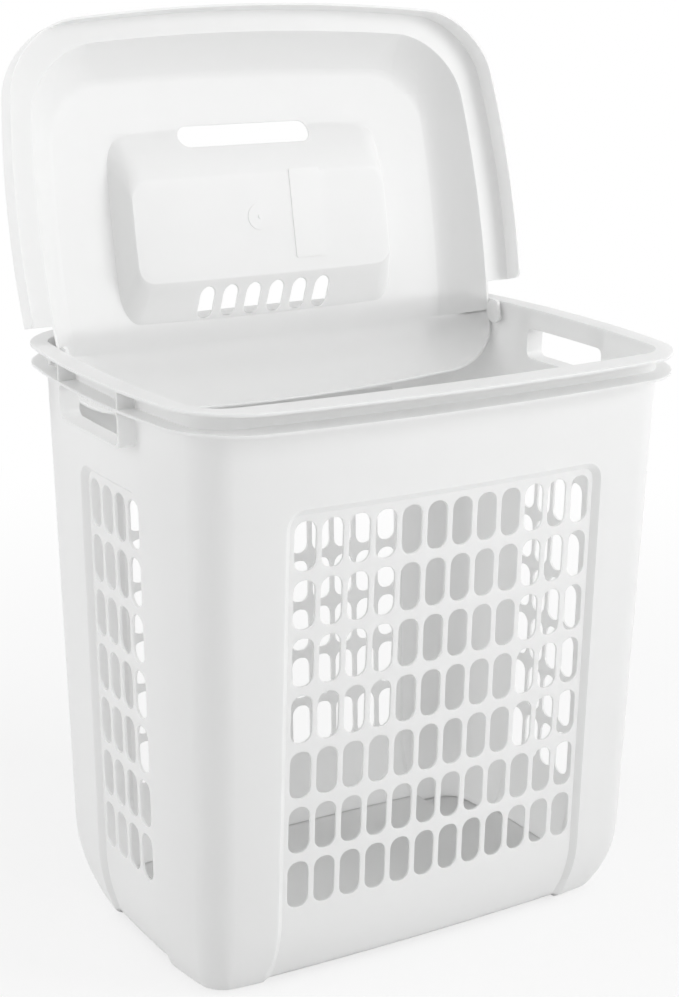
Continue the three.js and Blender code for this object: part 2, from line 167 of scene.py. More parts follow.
def pick_edges(piece, test):
    """Leaves piece in edit mode with only the edges selected whose two ends pass the test."""
    activate(piece)
    bpy.ops.object.mode_set(mode="EDIT")
    bpy.ops.mesh.select_mode(type="EDGE")
    bpy.ops.mesh.select_all(action="DESELECT")
    bpy.ops.object.mode_set(mode="OBJECT")
    points = piece.data.vertices
    for edge in piece.data.edges:
        edge.select = test(points[edge.vertices[0]].co, points[edge.vertices[1]].co)
    bpy.ops.object.mode_set(mode="EDIT")


def pick_faces(piece, test):
    """Leaves piece in edit mode with only the faces selected whose middle and normal pass the test."""
    activate(piece)
    bpy.ops.object.mode_set(mode="EDIT")
    bpy.ops.mesh.select_mode(type="FACE")
    bpy.ops.mesh.select_all(action="DESELECT")
    bpy.ops.object.mode_set(mode="OBJECT")
    for face in piece.data.polygons:
        face.select = test(face.center, face.normal)
    bpy.ops.object.mode_set(mode="EDIT")


def object_mode():
    bpy.ops.object.mode_set(mode="OBJECT")


def block(name, low, high):
    """A block between two corners, with its place in its mesh."""
    low, high = Vector(low), Vector(high)
    deselect()
    bpy.ops.mesh.primitive_cube_add(size=1, location=(low + high) / 2)
    piece = bpy.context.object
    piece.name = name
    piece.scale = high - low
    bpy.ops.object.transform_apply(location=True, rotation=True, scale=True)
    return piece


def rounded_block(name, half_x, front, rear, low, high, radius, segments):
    """A block whose four upright edges are rounded."""
    piece = block(name, (-half_x, front, low), (half_x, rear, high))
    pick_edges(piece, lambda a, b: abs(a.z - b.z) > 0.9 * (high - low))
    bpy.ops.mesh.bevel(offset=radius, segments=segments, affect="EDGES")
    object_mode()
    return piece


def slice_at(piece, axis, places):
    """Adds edge loops where planes square to an axis cross the piece."""
    activate(piece)
    bpy.ops.object.mode_set(mode="EDIT")
    for place in places:
        bpy.ops.mesh.select_all(action="SELECT")
        point, normal = [0, 0, 0], [0, 0, 0]
        point[axis], normal[axis] = place, 1
        bpy.ops.mesh.bisect(plane_co=point, plane_no=normal)
    object_mode()


def trim(piece, point, normal):
    """Cuts away what lies on the normal's side of a plane and closes the cut."""
    activate(piece)
    bpy.ops.object.mode_set(mode="EDIT")
    bpy.ops.mesh.select_all(action="SELECT")
    bpy.ops.mesh.bisect(plane_co=point, plane_no=normal, use_fill=True, clear_outer=True)
    object_mode()


def modify(piece, kind, **values):
    """Adds a modifier, sets it and applies it."""
    activate(piece)
    bpy.ops.object.modifier_add(type=kind)
    modifier = piece.modifiers[-1]
    for key, value in values.items():
        setattr(modifier, key, value)
    bpy.ops.object.modifier_apply(modifier=modifier.name)


def combine(piece, tool, operation):
    """Joins a tool to the piece, or cuts it away, and removes the tool."""
    modify(piece, "BOOLEAN", operation=operation, solver="MANIFOLD", object=tool)
    if not piece.data.polygons:
        raise RuntimeError(f"{operation} left nothing of {piece.name}")
    bpy.data.objects.remove(tool)


def weld(piece):
    """Merges doubled points and removes slivers."""
    activate(piece)
    bpy.ops.object.mode_set(mode="EDIT")
    bpy.ops.mesh.select_all(action="SELECT")
    bpy.ops.mesh.remove_doubles(threshold=0.02 * MM)
    bpy.ops.mesh.dissolve_degenerate(threshold=0.01 * MM)
    object_mode()


def reshape(piece, rule):
    """Moves each point of the mesh by one rule."""
    for point in piece.data.vertices:
        point.co = rule(point.co)
    piece.data.update()


def stepped(name, levels, radius, segments):
    """A block that widens or narrows in steps. Each level is its height, half width, front and rear."""
    low, half, front, rear = levels[0]
    piece = rounded_block(name, half, front, rear, low, levels[1][0], radius, segments)
    top = levels[1][0]
    pick_faces(piece, lambda middle, normal: normal.z > 0.9)
    for k, (height, next_half, next_front, next_rear) in enumerate(levels[1:]):
        if k:
            bpy.ops.mesh.extrude_region_move(TRANSFORM_OT_translate={"value": (0, 0, height - top)})
            top = height
        anchor = (0, (front + rear) / 2, height)
        scale = (next_half / half, (next_rear - next_front) / (rear - front), 1)
        bpy.ops.transform.resize(value=scale, center_override=anchor)
        bpy.ops.transform.translate(value=(0, (next_front + next_rear - front - rear) / 2, 0))
        half, front, rear = next_half, next_front, next_rear
    object_mode()
    return piece


def cylinder_along_x(name, radius, start, end, y, z, sides):
    deselect()
    bpy.ops.mesh.primitive_cylinder_add(
        vertices=sides,
        radius=radius,
        depth=abs(end - start),
        location=((start + end) / 2, y, z),
        rotation=(0, math.pi / 2, 0),
    )
    piece = bpy.context.object
    piece.name = name
    bpy.ops.object.transform_apply(location=True, rotation=True, scale=True)
    return piece


def finish_mesh(piece, edge_radius):
    """Rounds the sharp edges a little and shades the rest smooth."""
    weld(piece)
    modify(
        piece,
        "BEVEL",
        width=edge_radius,
        segments=2,
        limit_method="ANGLE",
        angle_limit=math.radians(SOFT_EDGE_ANGLE),
        use_clamp_overlap=True,
        harden_normals=False,
        miter_outer="MITER_ARC",
    )
    activate(piece)
    bpy.ops.object.shade_smooth_by_angle(angle=math.radians(SMOOTH_ANGLE))
    modify(piece, "WEIGHTED_NORMAL", keep_sharp=True, weight=50)


# ---------- tub ----------

CORNER_FACETS = 8
STILL_X = 0.155  # the long walls keep their slots square out to here
STILL_Y = 0.058  # and the short walls out to here
SIDE_DRAFT = 0.026
FRONT_DRAFT = 0.04
TUCK_HEIGHT = 68 * MM
TUCK_SIDE = 15 * MM
TUCK_FRONT = 26 * MM
BASE_ROUNDING = 6 * MM
ROWS = 7
FRONT_COLUMNS = 12
SIDE_COLUMNS = 4
PANEL_MARGIN = 4 * MM
PANEL_TOP_MARGIN = 5.5 * MM
HAND_HOLE_CORNER = 6 * MM
HAND_HOLE_RIB = 2.2 * MM  # thickness of the frame round a hand hole
HAND_HOLE_SETBACK = 0.6 * MM  # the frame ends this far inside the flanges' edge
CORNER_LINES_X = (0.17, 0.186)  # loops where the long walls turn into the corners
CORNER_LINES_Y = (0.08, 0.1, 0.118)  # and the short walls


def wall_shift(z, draft, tuck):
    """How far a wall has moved in from the rim at one height: draft, the tuck and the base rounding."""
    shift = draft * (HEIGHT - z)
    if z < TUCK_HEIGHT:
        shift += tuck * ((TUCK_HEIGHT - z) / TUCK_HEIGHT) ** 2
    if z < BASE_ROUNDING:
        rest = BASE_ROUNDING - max(z, 0)
        shift += BASE_ROUNDING - math.sqrt(BASE_ROUNDING**2 - rest**2)
    return shift


def drawn_in(place, still, wall, target):
    """Moves a place beyond the still stretch so that the wall lands on its target."""
    size = abs(place)
    if size > still:
        size = still + (size - still) * (target - still) / (wall - still)
    return math.copysign(size, place)


def settle(point):
    """Gives the straight-sided tub its draft, its bowed walls and its tucked base."""
    x, y, z = point
    side = HALF_WALL_X - wall_shift(z, SIDE_DRAFT, TUCK_SIDE)
    front = HALF_WALL_Y - wall_shift(z, FRONT_DRAFT, TUCK_FRONT)
    side *= 1 - SIDE_BOW * y * y / HALF_RIM_X
    front *= 1 - FRONT_BOW * x * x / HALF_RIM_Y
    return Vector(
        (drawn_in(x, STILL_X, HALF_WALL_X, side), drawn_in(y, STILL_Y, HALF_WALL_Y, front), z)
    )


def grid_half(tub, columns):
    """From the middle of a row of slots to its last slot's outer edge."""
    return ((columns - 1) * tub.column_pitch + tub.slot_width) / 2


def panel_window(tub, columns, wall_place, turns):
    """The cutter for one set-back panel: rounded at its top corners, narrowing inwards."""
    top = HEIGHT - tub.top_row_drop + tub.slot_height / 2 + PANEL_TOP_MARGIN + tub.panel_depth
    half = grid_half(tub, columns) + PANEL_MARGIN + tub.panel_depth
    reach = 20 * MM
    proud = MM  # the slope starts this far outside the wall's face
    start = wall_place + proud
    half, top = half + proud, top + proud
    cutter = block("window", (-half, start, -reach), (half, start + reach, top))
    pick_edges(cutter, lambda a, b: a.z > top - MM and b.z > top - MM and abs(a.x - b.x) < MM)
    bpy.ops.mesh.bevel(offset=tub.panel_corner + proud, segments=7, affect="EDGES")
    pick_faces(cutter, lambda middle, normal: normal.y < -0.9)
    run = tub.panel_depth + proud
    bpy.ops.mesh.inset(thickness=run, depth=run, use_even_offset=True)
    object_mode()
    cutter.data.transform(Matrix.Rotation(turns * math.pi / 2, 4, "Z"))
    return cutter


def slot_cutters(tub, columns, turned):
    """The slots of two facing walls: one is made, and arrays copy it."""
    width, height = tub.slot_width / 2, tub.slot_height / 2
    start = -(columns - 1) / 2 * tub.column_pitch
    top = HEIGHT - tub.top_row_drop
    cutter = block("slots", (start - width, -FAR, top - height), (start + width, FAR, top + height))
    pick_edges(cutter, lambda a, b: abs(a.y - b.y) > FAR)
    bpy.ops.mesh.bevel(offset=tub.slot_corner, segments=4, affect="EDGES")
    object_mode()
    for count, offset in ((columns, (tub.column_pitch, 0, 0)), (ROWS, (0, 0, -tub.row_pitch))):
        modify(
            cutter,
            "ARRAY",
            count=count,
            use_relative_offset=False,
            use_constant_offset=True,
            constant_offset_displace=offset,
        )
    if turned:
        cutter.data.transform(Matrix.Rotation(math.pi / 2, 4, "Z"))
    return cutter


def tub_lines(tub, piece, heights):
    """Edge loops along which the walls can bow, midway between the slots."""
    columns = [k * tub.column_pitch for k in range(FRONT_COLUMNS // 2 + 1)]
    across = [*columns, STILL_X, *CORNER_LINES_X]
    along = [*columns[: SIDE_COLUMNS // 2 + 1], STILL_Y, *CORNER_LINES_Y]
    slice_at(piece, 0, sorted({s * x for x in across for s in (-1, 1)}))
    slice_at(piece, 1, sorted({s * y for y in along for s in (-1, 1)}))
    slice_at(piece, 2, heights)


def tub_shell(tub):
    """The walls and the floor with their set-back panels and four feet, open at the top."""
    shell = rounded_block(
        "hamper_tub", HALF_WALL_X, -HALF_WALL_Y, HALF_WALL_Y, 0, HEIGHT, WALL_CORNER, CORNER_FACETS
    )
    for turns in range(4):
        short = turns % 2 == 1
        columns = SIDE_COLUMNS if short else FRONT_COLUMNS
        wall = HALF_WALL_X if short else HALF_WALL_Y
        combine(shell, panel_window(tub, columns, wall, turns), "DIFFERENCE")
    cross_x = grid_half(tub, FRONT_COLUMNS) + PANEL_MARGIN + tub.panel_depth
    cross_y = grid_half(tub, SIDE_COLUMNS) + PANEL_MARGIN + tub.panel_depth
    below = -10 * MM
    combine(shell, block("cross", (-cross_x, -FAR, below), (cross_x, FAR, tub.foot_height)), "DIFFERENCE")
    combine(shell, block("cross", (-FAR, -cross_y, below), (FAR, cross_y, tub.foot_height)), "DIFFERENCE")
    rounding = [BASE_ROUNDING * (1 - math.cos(k * math.pi / 10)) for k in range(1, 6)]
    tuck = [TUCK_HEIGHT * k / 8 for k in range(1, 9)]
    rows = [HEIGHT - tub.top_row_drop - (k - 0.5) * tub.row_pitch for k in range(ROWS + 1)]
    weld(shell)
    tub_lines(tub, shell, rounding + tuck + rows)
    weld(shell)
    pick_faces(shell, lambda middle, normal: normal.z > 0.9 and middle.z > HEIGHT - MM)
    bpy.ops.mesh.delete(type="ONLY_FACE")
    object_mode()
    modify(shell, "SOLIDIFY", thickness=tub.wall, offset=-1, use_even_offset=True)
    return shell


def flange_ring(tub, top):
    """A flat ring around the rim, from inside the wall outwards."""
    low = top - tub.flange_thickness
    ring = rounded_block("flange", HALF_RIM_X, -HALF_RIM_Y, HALF_RIM_Y, low, top, FLANGE_CORNER, 14)
    tub_lines(tub, ring, [])
    inset = tub.wall / 2
    hole = rounded_block(
        "hole",
        HALF_WALL_X - inset,
        inset - HALF_WALL_Y,
        HALF_WALL_Y - inset,
        low - MM,
        top + MM,
        WALL_CORNER - inset,
        CORNER_FACETS,
    )
    combine(ring, hole, "DIFFERENCE")
    return ring


def hand_hole(half, low, high, corner, start, end):
    """A block through a short wall, its four long edges rounded."""
    piece = block("hand_hole", (start, -half, low), (end, half, high))
    pick_edges(piece, lambda a, b: abs(a.x - b.x) > 0.9 * abs(end - start))
    bpy.ops.mesh.bevel(offset=corner, segments=5, affect="EDGES")
    object_mode()
    return piece


def build_tub(tub):
    """The whole tub: shell, flanges, hand holes, ribs, slots and pin holes."""
    shell = tub_shell(tub)
    lower_top = HEIGHT - tub.flange_pitch
    hole_top = lower_top - tub.flange_thickness
    hole_low = hole_top - tub.hand_hole_height
    half = tub.hand_hole_length / 2
    rib, corner = HAND_HOLE_RIB, HAND_HOLE_CORNER
    combine(shell, flange_ring(tub, HEIGHT), "UNION")
    combine(shell, flange_ring(tub, lower_top), "UNION")
    inner, outer = HALF_WALL_X - tub.wall / 2, HALF_RIM_X - HAND_HOLE_SETBACK
    for side in (-1, 1):
        start, end = sorted((side * inner, side * outer))
        frame_top = lower_top - tub.flange_thickness / 2
        collar = hand_hole(half + rib, hole_low - rib, frame_top, corner, start, end)
        combine(shell, collar, "UNION")
        for place in (-half - rib, half):
            rib_low, rib_high = (start, place, lower_top - MM), (end, place + rib, HEIGHT - MM)
            combine(shell, block("rib", rib_low, rib_high), "UNION")
    combine(shell, hand_hole(half, hole_low, hole_top, corner, -FAR, FAR), "DIFFERENCE")
    combine(shell, slot_cutters(tub, FRONT_COLUMNS, False), "DIFFERENCE")
    combine(shell, slot_cutters(tub, SIDE_COLUMNS, True), "DIFFERENCE")
    reshape(shell, settle)
    hole_radius = PIN_RADIUS + PIN_PLAY
    pin_hole = cylinder_along_x("pin_hole", hole_radius, -FAR, FAR, HINGE_Y, HINGE_Z, 32)
    combine(shell, pin_hole, "DIFFERENCE")
    finish_mesh(shell, tub.edge_radius)
    shell.data.transform(Matrix.Translation((0, TUB_MIDDLE.y, 0)))
    return shell


# ---------- lid, modelled shut ----------

TUB_INNER_Y = HALF_WALL_Y - TUB_WALL
DOME_CLEARANCE = 3.6 * MM  # dome to the tub's inner wall
DOME_HALF_X = HALF_WALL_X - TUB_WALL - DOME_CLEARANCE
FRONT_CLEARANCE = 0.8 * MM  # more room between the skirt and the front flange
LAND_FRONT = 19.2 * MM  # the land from the skirt to the dome's front
DOME_SIDE_RUN = 31 * MM
DOME_FRONT_RUN = 36 * MM
DOME_CORNER = 62 * MM
DOME_STEPS = 12
TAIL_CLEARANCE = 5.9 * MM  # tail to the tub's rear wall as it swings
TAIL_RADIUS = TUB_INNER_Y - HINGE_Y - TAIL_CLEARANCE
TAIL_SIDE_RUN = 55 * MM
CUP_FRONT = 200 * MM  # hinge to the cup's front edge
CUP_REAR = 20 * MM  # and to its rear edge
CUP_SIDE_RUN = 13 * MM
CUP_REAR_RUN = 39 * MM
CUP_FRONT_RUN = 58 * MM
CUP_CORNER = 13 * MM
GRIP_FROM_FRONT = 14 * MM  # the cup's front edge to the middle of the grip slot
LID_LINE_PITCH = 24 * MM
SKIRT_END = 29 * MM  # the skirt stops this far before the hinge
SKIRT_END_RADIUS = 8 * MM
SKIRT_EDGE = 1.6 * MM
VENTS = 6
EAR_RADIUS = 11 * MM
EAR_THICKNESS = 3 * MM
EAR_DROP = 8 * MM  # the ear's flat lower edge below the pin
PIN_PROUD = 7 * MM  # the pin ends this far outside the tub's wall

# Pads under the cup's floor: name, middle x and y, half sizes x and y, corner, height, all in MM
UNDERSIDE_PADS = (
    ("gate_disc", -3, -10, 12, 12, 11.9, 0.7),
    ("gate_stub", -3, -10, 2, 2, 1.9, 1.6),
    ("plate", 46.5, -10.5, 15.5, 40.5, 1.5, 0.8),
)


def lid_front(lid):
    """The skirt's front face, before it is bowed."""
    return -(HALF_RIM_Y + LID_CLEARANCE + FRONT_CLEARANCE + lid.wall)


def bow(x, y):
    """The lid's outline follows the bowed walls."""
    return x * (1 - SIDE_BOW * y * y / HALF_RIM_X), y * (1 - FRONT_BOW * x * x / HALF_RIM_Y)


def dome_height(lid, x, y):
    """Height of the dome's outer face over the rim: it rises to the hinge and is crowned across."""
    front = lid_front(lid) + LAND_FRONT
    along = (y - front) / (HINGE_Y - front)
    rear_height = TAIL_RADIUS - (HEIGHT - HINGE_Z)
    crown = FRONT_BOW * x * x * TUB_INNER_Y / HALF_RIM_Y
    return lid.dome_front_height + (rear_height - lid.dome_front_height) * along - crown


def lid_lines(piece):
    """Edge loops along which the lid's faces can bow."""
    places = [k * LID_LINE_PITCH for k in range(-8, 9)]
    slice_at(piece, 0, places)
    slice_at(piece, 1, [y for y in places if abs(y) < 0.17])


def dome(lid, inset):
    """The dome as a stepped block of height 1, then bowed and raised to its crowned height."""
    half, front = DOME_HALF_X - inset, lid_front(lid) + LAND_FRONT + inset
    rear = HINGE_Y + DOME_CORNER
    levels = []
    for k in range(DOME_STEPS + 1):
        inward = 1 - math.cos(k * math.pi / 2 / DOME_STEPS)
        inward = k / DOME_STEPS if k < 2 else inward * 0.55 + 0.45 * k / DOME_STEPS
        upward = 1 - (1 - inward) ** 2
        levels.append((upward, half - inward * DOME_SIDE_RUN, front + inward * DOME_FRONT_RUN, rear))
    piece = stepped("dome", levels, DOME_CORNER - inset, 14)
    lid_lines(piece)

    def raised(point):
        x, y = bow(point.x, point.y)
        return Vector((x, y, SEAT + point.z * (dome_height(lid, x, y) - inset - SEAT_GAP)))

    reshape(piece, raised)
    if inset:
        pick_faces(piece, lambda middle, normal: normal.z < -0.9 and middle.z < SEAT + MM)
        bpy.ops.mesh.extrude_region_move(TRANSFORM_OT_translate={"value": (0, 0, -2 * lid.wall)})
        object_mode()
    web = lid.wall if inset else 0
    trim(piece, (0, HINGE_Y - web, 0), (0, 1, 0))
    return piece


def tail(lid, inset):
    """Behind the hinge the lid is part of a barrel about the pins, so that it can swing into the tub."""
    narrow = 1 - SIDE_BOW * HINGE_Y**2 / HALF_RIM_X
    face = DOME_HALF_X * narrow - inset
    shoulder = face - TAIL_SIDE_RUN
    low = SEAT - HINGE_Z

    def radius_at(x):
        inner = min(abs(x), shoulder)
        full = HEIGHT + dome_height(lid, inner, HINGE_Y) - inset - HINGE_Z
        share = min(max(abs(x) - shoulder, 0) / TAIL_SIDE_RUN, 1)
        return low + (full - low) * math.sqrt(1 - share * share)

    piece = cylinder_along_x("tail", 1, -face, face, HINGE_Y, HINGE_Z, 120)
    rounds = [shoulder + TAIL_SIDE_RUN * math.sin(k * math.pi / 24) for k in range(12)]
    middle = [shoulder * k / 7 for k in range(7)]
    slice_at(piece, 0, sorted({s * x for x in rounds + middle for s in (-1, 1)}))

    def swept(point):
        radius = radius_at(point.x)
        return Vector(
            (point.x, HINGE_Y + (point.y - HINGE_Y) * radius, HINGE_Z + (point.z - HINGE_Z) * radius)
        )

    reshape(piece, swept)
    forward = 1.15 * lid.wall if inset else 0.5 * MM
    trim(piece, (0, HINGE_Y - forward, 0), (0, -1, 0))
    trim(piece, (0, 0, SEAT - (lid.wall if inset else 0)), (0, 0, -1))
    return piece


def skirt(lid):
    """The land on the rim and the skirt around three sides, its ends rounded off before the hinge."""
    front = lid_front(lid)
    half = HALF_RIM_X + LID_CLEARANCE + lid.wall
    corner = FLANGE_CORNER + LID_CLEARANCE + lid.wall
    low, high = HEIGHT - lid.skirt_drop, SEAT + lid.wall
    outer = rounded_block("skirt", half, front, -front, low, high, corner, 16)
    pick_edges(outer, lambda a, b: a.z > high - MM and b.z > high - MM)
    bpy.ops.mesh.bevel(offset=SKIRT_EDGE, segments=3, affect="EDGES")
    object_mode()
    wall = lid.wall
    inner = rounded_block(
        "inner", half - wall, front + wall, -front - wall, low - 5 * MM, SEAT, corner - wall, 16
    )
    combine(outer, inner, "DIFFERENCE")
    lid_lines(outer)
    reshape(outer, lambda p: Vector((*bow(p.x, p.y), p.z)))
    end = HINGE_Y - SKIRT_END
    trim(outer, (0, end, 0), (0, 1, 0))
    radius = SKIRT_END_RADIUS
    middle = Vector((0, end - radius, low + radius))
    for k in range(1, 8):
        angle = k * math.pi / 16
        outward = Vector((0, math.cos(angle), -math.sin(angle)))
        trim(outer, middle + radius * outward, outward)
    return outer


def seat_on_dome(lid, piece):
    """Bows a piece with the lid and raises its heights on to the dome's face."""

    def seated(point):
        x, y = bow(point.x, point.y)
        return Vector((x, y, HEIGHT + dome_height(lid, x, y) + point.z))

    reshape(piece, seated)


def cup(lid, offset):
    """The hand cup, wider by offset. Heights are from the dome's face, which it then follows."""
    rear, front = HINGE_Y - CUP_REAR, HINGE_Y - CUP_FRONT
    half = lid.cup_width / 2
    depth = lid.cup_depth + offset
    levels = []
    shares = [0, 0.015, 0.06, 0.14, 0.26, 0.4, 0.55, 0.7, 0.82, 0.92, 0.98, 1]
    for share in shares:
        smooth = 0.5 - math.sin(math.asin(1 - 2 * share) / 3)
        firm = 0.3 * smooth + 0.7 * share
        levels.append(
            (
                (share - 1) * depth,
                half + offset - (1 - firm) * CUP_SIDE_RUN,
                front - offset + (1 - smooth) * CUP_FRONT_RUN,
                rear + offset - (1 - firm) * CUP_REAR_RUN,
            )
        )
    top = levels[-1]
    levels.append((12 * MM, top[1] + MM, top[2] - MM, top[3] + MM))
    piece = stepped("cup", levels, CUP_CORNER + offset, 10)
    lid_lines(piece)
    seat_on_dome(lid, piece)
    return piece


def upright_slot(name, x, y, width, depth, radius):
    """A cutter for a round-ended slot through the dome."""
    piece = rounded_block(name, width / 2, y - depth / 2, y + depth / 2, HEIGHT, HEIGHT + 0.2, radius, 8)
    piece.data.transform(Matrix.Translation((x, 0, 0)))
    return piece


def ear(lid, side):
    """A round tab beside the tub's wall, with the pin that goes through it."""
    narrow = 1 - SIDE_BOW * HINGE_Y**2 / HALF_RIM_X
    face = DOME_HALF_X * narrow
    wall_outer = HALF_WALL_X * narrow
    root = side * (face - EAR_THICKNESS)
    tab = cylinder_along_x("ear", EAR_RADIUS, root, side * face, HINGE_Y, HINGE_Z, 64)
    trim(tab, (0, 0, HINGE_Z - EAR_DROP), (0, 0, -1))
    end = wall_outer + PIN_PROUD
    pin = cylinder_along_x("pin", PIN_RADIUS, side * (face - MM), side * end, HINGE_Y, HINGE_Z, 32)
    pick_edges(pin, lambda a, b: abs(a.x) > end - 0.1 * MM and abs(b.x) > end - 0.1 * MM)
    bpy.ops.mesh.bevel(offset=0.8 * MM, segments=3, affect="EDGES")
    object_mode()
    combine(tab, pin, "UNION")
    return tab


def underside_mark(lid, name, middle_x, middle_y, half_x, half_y, radius, height):
    """A low raised pad under the cup's floor."""
    floor = -lid.cup_depth - lid.wall
    pad = rounded_block(
        name, half_x, middle_y - half_y, middle_y + half_y, floor - height, floor + MM, radius, 8
    )
    pad.data.transform(Matrix.Translation((middle_x, 0, 0)))
    seat_on_dome(lid, pad)
    return pad


def build_lid(lid):
    """The whole lid, modelled shut and then swung open about its pins."""
    body = skirt(lid)
    body.name = "hamper_lid"
    combine(body, dome(lid, 0), "UNION")
    combine(body, tail(lid, 0), "UNION")
    hollow = dome(lid, lid.wall)
    combine(hollow, tail(lid, lid.wall), "UNION")
    combine(hollow, cup(lid, lid.wall), "DIFFERENCE")
    combine(body, hollow, "DIFFERENCE")
    combine(body, cup(lid, 0), "DIFFERENCE")
    grip_y = HINGE_Y - CUP_FRONT + GRIP_FROM_FRONT
    grip_corner = lid.grip_height / 2 - 0.5 * MM
    grip = upright_slot("grip", 0, grip_y, lid.grip_length, lid.grip_height, grip_corner)
    combine(body, grip, "DIFFERENCE")
    vent_y = HINGE_Y - CUP_REAR - CUP_REAR_RUN / 2 + 2 * MM
    vent_corner = lid.vent_width / 2 - 0.1 * MM
    for k in range(VENTS):
        x = (k - (VENTS - 1) / 2) * lid.vent_pitch
        vent = upright_slot("vent", x, vent_y, lid.vent_width, lid.vent_length, vent_corner)
        combine(body, vent, "DIFFERENCE")
    for name, *sizes in UNDERSIDE_PADS:
        combine(body, underside_mark(lid, name, *[size * MM for size in sizes]), "UNION")
    for side in (-1, 1):
        combine(body, ear(lid, side), "UNION")
    finish_mesh(body, lid.edge_radius)
    swing = Matrix.Rotation(-OPEN_ANGLE, 4, "X")
    hinge = Vector((0, HINGE_Y, HINGE_Z))
    body.data.transform(Matrix.Translation(hinge) @ swing @ Matrix.Translation(-hinge))
    body.data.transform(Matrix.Translation((0, TUB_MIDDLE.y, 0)))
    return body


# ---------- finishes ----------


SHEEN = (0.36, 0.5)  # roughness where the plastic is glossiest and dullest
PLASTIC_IOR = 1.49
GLOW_SHARE = 0.8  # how much of the light goes into the plastic before it leaves
GLOW_DEPTH = 8 * MM


def moulded_plastic(name, colours):
    """White polypropylene: faint density changes, a soft sheen and a fine moulded grain."""
    material = bpy.data.materials.new(name)
    material.use_nodes = True
    nodes, links = material.node_tree.nodes, material.node_tree.links
    shader = nodes["Principled BSDF"]
    place = nodes.new("ShaderNodeTexCoord")

    def noise(scale, detail):
        node = nodes.new("ShaderNodeTexNoise")
        node.inputs["Scale"].default_value = scale
        node.inputs["Detail"].default_value = detail
        links.new(place.outputs["Object"], node.inputs["Vector"])
        return node

    density = nodes.new("ShaderNodeMix")
    density.data_type = "RGBA"
    density.inputs["A"].default_value = (*colours.plastic, 1)
    density.inputs["B"].default_value = (*colours.plastic_shade, 1)
    links.new(noise(9, 3).outputs["Fac"], density.inputs["Factor"])
    links.new(density.outputs["Result"], shader.inputs["Base Color"])

    sheen = nodes.new("ShaderNodeMapRange")
    sheen.inputs["To Min"].default_value, sheen.inputs["To Max"].default_value = SHEEN
    links.new(noise(45, 4).outputs["Fac"], sheen.inputs["Value"])
    links.new(sheen.outputs["Result"], shader.inputs["Roughness"])

    grain = nodes.new("ShaderNodeBump")
    grain.inputs["Strength"].default_value = 0.12
    grain.inputs["Distance"].default_value = 0.12 * MM
    links.new(noise(1400, 2).outputs["Fac"], grain.inputs["Height"])
    sink = nodes.new("ShaderNodeBump")
    sink.inputs["Strength"].default_value = 0.25
    sink.inputs["Distance"].default_value = 0.6 * MM
    links.new(noise(22, 1).outputs["Fac"], sink.inputs["Height"])
    links.new(grain.outputs["Normal"], sink.inputs["Normal"])
    links.new(sink.outputs["Normal"], shader.inputs["Normal"])
    shader.inputs["IOR"].default_value = PLASTIC_IOR
    shader.inputs["Subsurface Weight"].default_value = GLOW_SHARE
    shader.inputs["Subsurface Radius"].default_value = (1, 1, 1)
    shader.inputs["Subsurface Scale"].default_value = GLOW_DEPTH
    return material


def dress(piece, material):
    """Gives a piece one material."""
    piece.data.materials.clear()
    piece.data.materials.append(material)


# ---------- studio ----------

FLOOR_FADE = (0.35, 1.5)  # the floor fades to white between these distances, m
FLOOR_WHITE = 0.72  # how white the floor looks near the hamper
WORLD_LIGHT = 0.59
LAMP_AIM = (0, 0, 0.4)
LAMPS = (  # name, place in m, size in m, power in W
    ("key", (2.2, -2.5, 1.5), (1.6, 2.0), 48),
    ("rear_left", (-2.8, 0.9, 1.4), (1.4, 2.0), 21),
    ("top", (0.2, -0.6, 3.2), (2.5, 2.5), 11),
)
CAMERA_TURN = (-31.12, -14.34, 0.42)  # yaw, pitch and roll, degrees
CAMERA_FROM_RIM = (-0.88279, -1.44533, 0.35878)  # from the middle of the rim, m
CAMERA_LENS = 73.38
CAMERA_SHIFT = -0.0709


def background_rays(nodes, links):
    """Is 1 for rays that see the white background: straight, in a reflection or through glass."""
    path = nodes.new("ShaderNodeLightPath")
    rays = path.outputs["Is Camera Ray"]
    for kind in ("Is Glossy Ray", "Is Transmission Ray"):
        either = nodes.new("ShaderNodeMath")
        either.operation = "MAXIMUM"
        links.new(rays, either.inputs[0])
        links.new(path.outputs[kind], either.inputs[1])
        rays = either.outputs["Value"]
    return rays


def studio_floor_material(floor_colour):
    """A matte floor that looks nearly white, fading to white far out, with the shadow kept."""
    material = bpy.data.materials.new("studio_floor")
    material.use_nodes = True
    nodes, links = material.node_tree.nodes, material.node_tree.links
    nodes.clear()
    output = nodes.new("ShaderNodeOutputMaterial")
    matte = nodes.new("ShaderNodeBsdfDiffuse")
    matte.inputs["Color"].default_value = (*floor_colour, 1)
    glow = nodes.new("ShaderNodeEmission")
    glow.inputs["Color"].default_value = (1, 1, 1, 1)
    seen = nodes.new("ShaderNodeMath")
    seen.operation = "MULTIPLY"
    coords = nodes.new("ShaderNodeTexCoord")
    distance = nodes.new("ShaderNodeVectorMath")
    distance.operation = "LENGTH"
    links.new(coords.outputs["Object"], distance.inputs[0])
    fade = nodes.new("ShaderNodeMapRange")
    fade.interpolation_type = "SMOOTHSTEP"
    fade.inputs["From Min"].default_value, fade.inputs["From Max"].default_value = FLOOR_FADE
    fade.inputs["To Min"].default_value = FLOOR_WHITE
    fade.inputs["To Max"].default_value = 1
    links.new(distance.outputs["Value"], fade.inputs["Value"])
    links.new(fade.outputs["Result"], seen.inputs[1])
    links.new(background_rays(nodes, links), seen.inputs[0])
    mix = nodes.new("ShaderNodeMixShader")
    links.new(seen.outputs["Value"], mix.inputs["Fac"])
    links.new(matte.outputs["BSDF"], mix.inputs[1])
    links.new(glow.outputs["Emission"], mix.inputs[2])
    links.new(mix.outputs["Shader"], output.inputs["Surface"])
    return material


